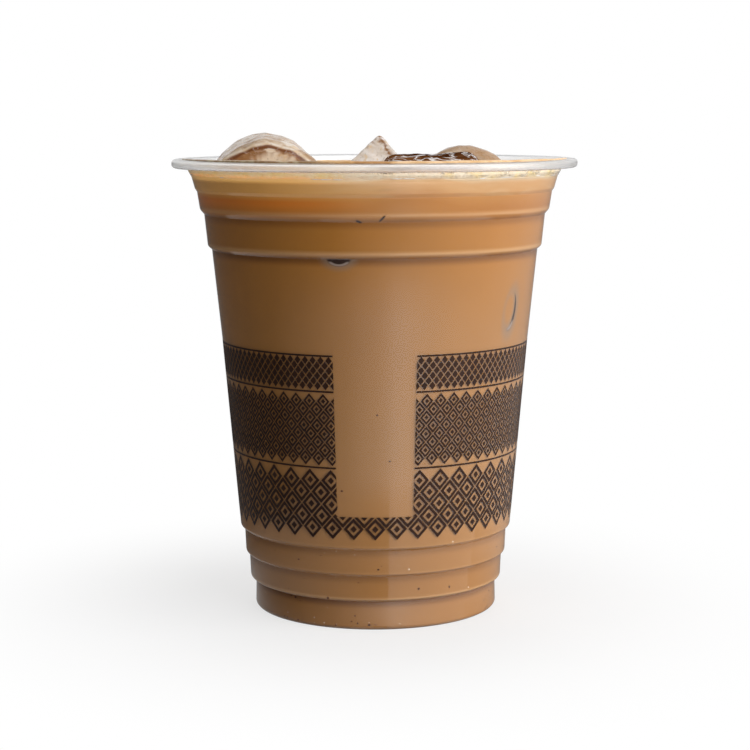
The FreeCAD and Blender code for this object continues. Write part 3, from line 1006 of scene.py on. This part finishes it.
def ruled_line(height, stations=300):
    """A ruled line of ink at a height, from one side of the window round to the other: a four-cornered
    section carried along it, ends closed."""
    sweep = np.linspace(WINDOW_HALF, 2 * np.pi - WINDOW_HALF, stations)
    corners = ((-1, -INK_SUNK), (-1, INK_PROUD), (1, INK_PROUD), (1, -INK_SUNK))
    section = np.stack([on_wall(sweep, np.full(stations, height) + side * RULE_HALF, proud)
                        for side, proud in corners], 1)
    last = 4 * stations - 1
    ends = np.array([[0, 1, 2, 3], [last, last - 1, last - 2, last - 3]])
    return section.reshape(-1, 3), np.concatenate([cell_quads(stations, 4), ends])


def build_print(material):
    """The printed band: three sizes of lozenge lattice, fine at the top and bold at the bottom, between
    ruled lines, leaving the window bare."""
    bold, middle = lattice(22.4, 5, 2.85, 2.6, 42), lattice(39.9, 8, 1.925, 1.74, 66)
    fine = lattice(57.75, 6, 1.18, 0.95, 120)
    forms = ((lozenge_ring(2.35, 2.6, 0.62), bold), (lozenge_spot(0.75, 0.85), bold),
             (lozenge_ring(1.54, 1.74, 0.43), middle), (lozenge_spot(0.5, 0.58), middle),
             (lozenge_spot(0.76, 0.95), fine))
    parts = [stamped(form, *centres) for form, centres in forms] + [ruled_line(height) for height in RULES]
    points, quads = zip(*parts)
    first = np.cumsum([0] + [len(part) for part in points])
    quads = [faces + number for faces, number in zip(quads, first)]
    mesh = mesh_of("print_band", np.concatenate(points), np.concatenate(quads))
    mesh.shade_flat()
    return fit(mesh, material, "print_ink")


def build_specks(name, material, count, seed, smallest, largest, reach):
    """Specks against the wall: small flattened rounds, thickest near the base and thinning out upwards."""
    rng = np.random.default_rng(seed)
    angle = rng.uniform(-np.pi, np.pi, count)
    height = 0.9 + reach * rng.uniform(0, 1, count) ** 2.2
    size = smallest + (largest - smallest) * rng.uniform(0, 1, count) ** 4
    centres = polar(radius_at(wall_line(SHEET - BEDDING), height), angle, height)
    stretch = rng.uniform(0.7, 1.5, count)
    axes = wall_axes(angle, size * stretch, size / stretch, 0 * size + 0.06)
    return fit(strewn(name, ball(2, 6), centres, axes), material, "mocha")


# ------------------------------------------------------------------ studio


def aim(thing, position, target, roll=0.0):
    """Stands a lamp or camera at a position, in metres, looking at a target."""
    ahead = unit(np.array(target, float) - np.array(position, float))
    right = unit(np.cross(ahead, [0, 0, 1]))
    up = np.cross(right, ahead)
    matrix = np.eye(4)
    matrix[:3, 0] = math.cos(roll) * right + math.sin(roll) * up
    matrix[:3, 1] = math.cos(roll) * up - math.sin(roll) * right
    matrix[:3, 2], matrix[:3, 3] = -ahead, position
    thing.matrix_world = Matrix(matrix.tolist())


def build_camera():
    """A long lens a little above the rim, looking down at the cup."""
    data = bpy.data.cameras.new("camera")
    data.sensor_width = 36.0
    data.lens = CAMERA_LENS
    camera = place(data)
    ahead = np.array([0.0, math.cos(CAMERA_DOWN), -math.sin(CAMERA_DOWN)])
    aim(camera, CAMERA_PLACE, CAMERA_PLACE + ahead, CAMERA_ROLL)
    bpy.context.scene.camera = camera


def lamp(name, bearing, distance, height, width, tall, glow, seen_in_gloss):
    """A soft lamp: a rectangle at a bearing from the front, facing the cup, of a glow that a white card
    matches."""
    data = bpy.data.lights.new(name, "AREA")
    data.shape = "RECTANGLE"
    data.size, data.size_y = width, tall
    data.energy = glow * math.pi * width * tall
    thing = place(data)
    aim(thing, polar(distance, math.radians(bearing), height), CUP_MIDDLE)
    thing.visible_camera = False
    thing.visible_transmission = False
    thing.visible_glossy = seen_in_gloss


def build_floor():
    """Pale floor that keeps the shadow near the cup and gives way to plain white further off: rings from 10
    mm to 6 m, wider apart with the square of their number, round a point under the cup."""
    share = np.linspace(0, 1, FLOOR_RINGS)[:, None] ** 2
    rings = polar(10 + 6000 * share, 2 * np.pi * np.arange(FLOOR_AROUND) / FLOOR_AROUND, 0)
    turn = np.arange(FLOOR_AROUND)
    fan = np.stack([0 * turn + FLOOR_AROUND * FLOOR_RINGS, turn, (turn + 1) % FLOOR_AROUND], -1)
    mesh = mesh_of("floor", np.concatenate([rings.reshape(-1, 3), [[0, 0, 0]]]),
                   cell_quads(FLOOR_RINGS, FLOOR_AROUND), fan)
    material, where = new_material("pale_floor")
    away = Field(add(where.tree, "VectorMath", {"operation": "LENGTH"}, n_0=where).outputs["Value"])
    rays = fields(add(where.tree, "LightPath"))
    colour = mixed(noise(where, 60.0, 3.0), (0.84, 0.84, 0.84, 1.0), (0.88, 0.88, 0.88, 1.0))
    colour = mixed(rays["Is Diffuse Ray"], colour, (0.42, 0.41, 0.40, 1.0))
    matt = add(where.tree, "BsdfDiffuse", Color=colour)
    white = add(where.tree, "Emission", Color=WHITE, Strength=1.0)
    share = away.between(0.040, 0.12, 0.68, 1.0) * looked_at(rays)
    mesh.materials.append(finished(material, blended(share, matt, white)))
    floor = place(mesh)
    floor.visible_glossy = False


def build_surround():
    """Cards round the cup, seen only as reflections. Their glow goes with the bearing and falls through
    three levels: an even growth of light to the right, then one brightest at the front, and low down a
    bright panel with sharp sides to the right. The lowest cards glow evenly on the right."""
    bearing = np.radians(np.linspace(-180, 180, CARDS_AROUND + 1)[:-1])
    turn = np.degrees(bearing)
    even = np.interp(turn, [-180, -165, -150, -25, 0, 30, 60, 90, 110, 150, 180],
                     [0.3, 0.2, 0.1, 0.1, 0.45, 0.95, 1.2, 1.2, 1.0, 0.3, 0.3])
    front = np.interp(turn, [-180, -75, -40, -20, -10, 1, 8, 14, 20, 37, 55, 73, 95, 110, 150, 180],
                      [0.1, 0.1, 0.4, 0.7, 1.05, 1.35, 1.8, 2.3, 2.4, 2.0, 1.8, 1.6, 1.4, 1.1, 0.3, 0.3])
    panel = np.interp(turn, [-180, -165, -150, -124, -60, -25, 2, 10.6, 11.2, 88.0, 88.6, 130, 160, 180],
                      [0.3, 0.3, 0.4, 0.5, 0.55, 0.45, 0.3, 0.35, 1.35, 1.3, 0.7, 0.45, 0.3, 0.3])
    height = np.linspace(CARDS_TOP, CARDS_FOOT, CARDS_ROWS)[:, None]
    middle, low = ease(-height, -34, -6), ease(-height, 42, 60)
    lowest = ease(-height, 140, 200) * ease(turn, -70, -5) * ease(-turn, -150, -110)
    glow = (1 - middle) * even + middle * ((1 - low) * front + low * panel)
    glow = (1 - lowest) * glow + lowest * 1.3
    mesh = mesh_of("surround", polar(CARDS_RADIUS, bearing, height).reshape(-1, 3),
                   cell_quads(CARDS_ROWS, CARDS_AROUND))
    attach(mesh, "glow", glow)
    material = bpy.data.materials.new("surround_cards")
    tree = cleared(material)
    shine = add(tree, "Emission", Color=WHITE, Strength=attribute(tree, "glow"))
    mesh.materials.append(finished(material, shine))
    surround = place(mesh)
    surround.visible_camera = surround.visible_diffuse = surround.visible_transmission = False
    surround.visible_shadow = False


def build_world():
    """Plain white background wherever the camera, gloss or glass looks, and a low even light for the
    rest."""
    world = bpy.data.worlds.new("studio")
    bpy.context.scene.world = world
    tree = cleared(world)
    seen = looked_at(fields(add(tree, "LightPath"))).between(0.0, 1.0, AMBIENT, 1.0, kind="LINEAR")
    background = add(tree, "Background", Color=WHITE, Strength=seen)
    add(tree, "OutputWorld", Surface=Field(background.outputs[0]))


def build_studio():
    """Floor, surroundings and lamps: a large soft key on the right, one behind for the back, one low at
    each side and one overhead."""
    build_floor()
    build_surround()
    build_world()
    for facts in LAMPS:
        lamp(*facts)
    build_camera()
    bpy.context.scene.view_settings.view_transform = "Standard"


# ------------------------------------------------------------------ assembly

OUTER_WALL = wall_line(0.0)


def main():
    """Every piece with its material, then the studio."""
    mottle, by_height, bubbles = mottle_group(), depth_group(), bubble_group()
    froth_low, froth_high = (corner[2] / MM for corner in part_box("froth"))
    build_cup(clear_sheet())
    build_coffee(coffee_liquid(mottle, by_height, ledge_group(), wall_mark_group()), froth_low)
    build_froth(froth_material(mottle, by_height, bubbles), froth_low, froth_high)
    build_film(froth_material(mottle, by_height, bubbles, "froth_film", film=True), froth_high)
    build_bubbles(wet_froth_and_glint_material("bubble_skin", srgb(238, 222, 194), srgb(222, 192, 138), 0.15), froth_high)
    # painted glints: near-white drops standing in for lamp highlights at the froth's level
    build_painted_glints(wet_froth_and_glint_material("painted_glint_white", srgb(252, 250, 246), srgb(240, 232, 220), 0.2),
                       froth_high)
    build_rim_refraction_bead(rim_refraction_material())
    build_plug("ice_left_piece", "ice_left",
               ice_material("ice_beige", srgb(200, 177, 148), srgb(164, 130, 94), 0.2),
               radius=14.2, taper=0.9, length=22.0, edge=2.6, tilt=5.5, yaw=6.0, rough=0.30, seed=41,
               froth_patches=((2.2, 4.6, 6.4, 6.3, -0.12), (0.4, 11.7, 1.4, 0.35, 0.0),
                              (5.6, 13.1, 2.6, 0.8, -0.5)), open_mouth=1.0)
    # The front piece's dark brown is partly a coffee film on the ice and partly painted refraction of the
    # dark drink seen through it, and its white streaks are mostly painted highlights on cracks.
    build_plug("ice_front_piece", "ice_front",
               ice_material("ice_dark", srgb(116, 74, 42), srgb(52, 20, 5), 0.8, (0.5, 0.7, 2.4), 0.0, 0.0),
               radius=13.0, taper=0.6, length=24.0, edge=4.5, tilt=4.5, yaw=-84.0, rough=0.35, seed=51)
    build_plug("ice_right_piece", "ice_right",
               ice_material("ice_brown", srgb(196, 168, 138), srgb(172, 136, 98), 0.1),
               radius=12.4, taper=0.6, length=19.0, edge=4.8, tilt=-3.0, yaw=8.0, rough=0.25, seed=61)
    build_shard("ice_shard_piece", "ice_centre",
                ice_material("ice_clear", srgb(238, 234, 232), srgb(216, 202, 188), 0.35, clearness=0.2))
    build_print(ink_material(mottle))
    build_specks("coffee_specks", speck_material("ground_coffee", srgb(52, 22, 10), srgb(104, 60, 32)),
                 count=420, seed=5, smallest=0.07, largest=0.36, reach=60.0)
    build_specks("pale_specks", speck_material("froth_specks", srgb(226, 204, 172), srgb(246, 232, 210)),
                 count=90, seed=6, smallest=0.07, largest=0.26, reach=24.0)
    build_studio()


main()
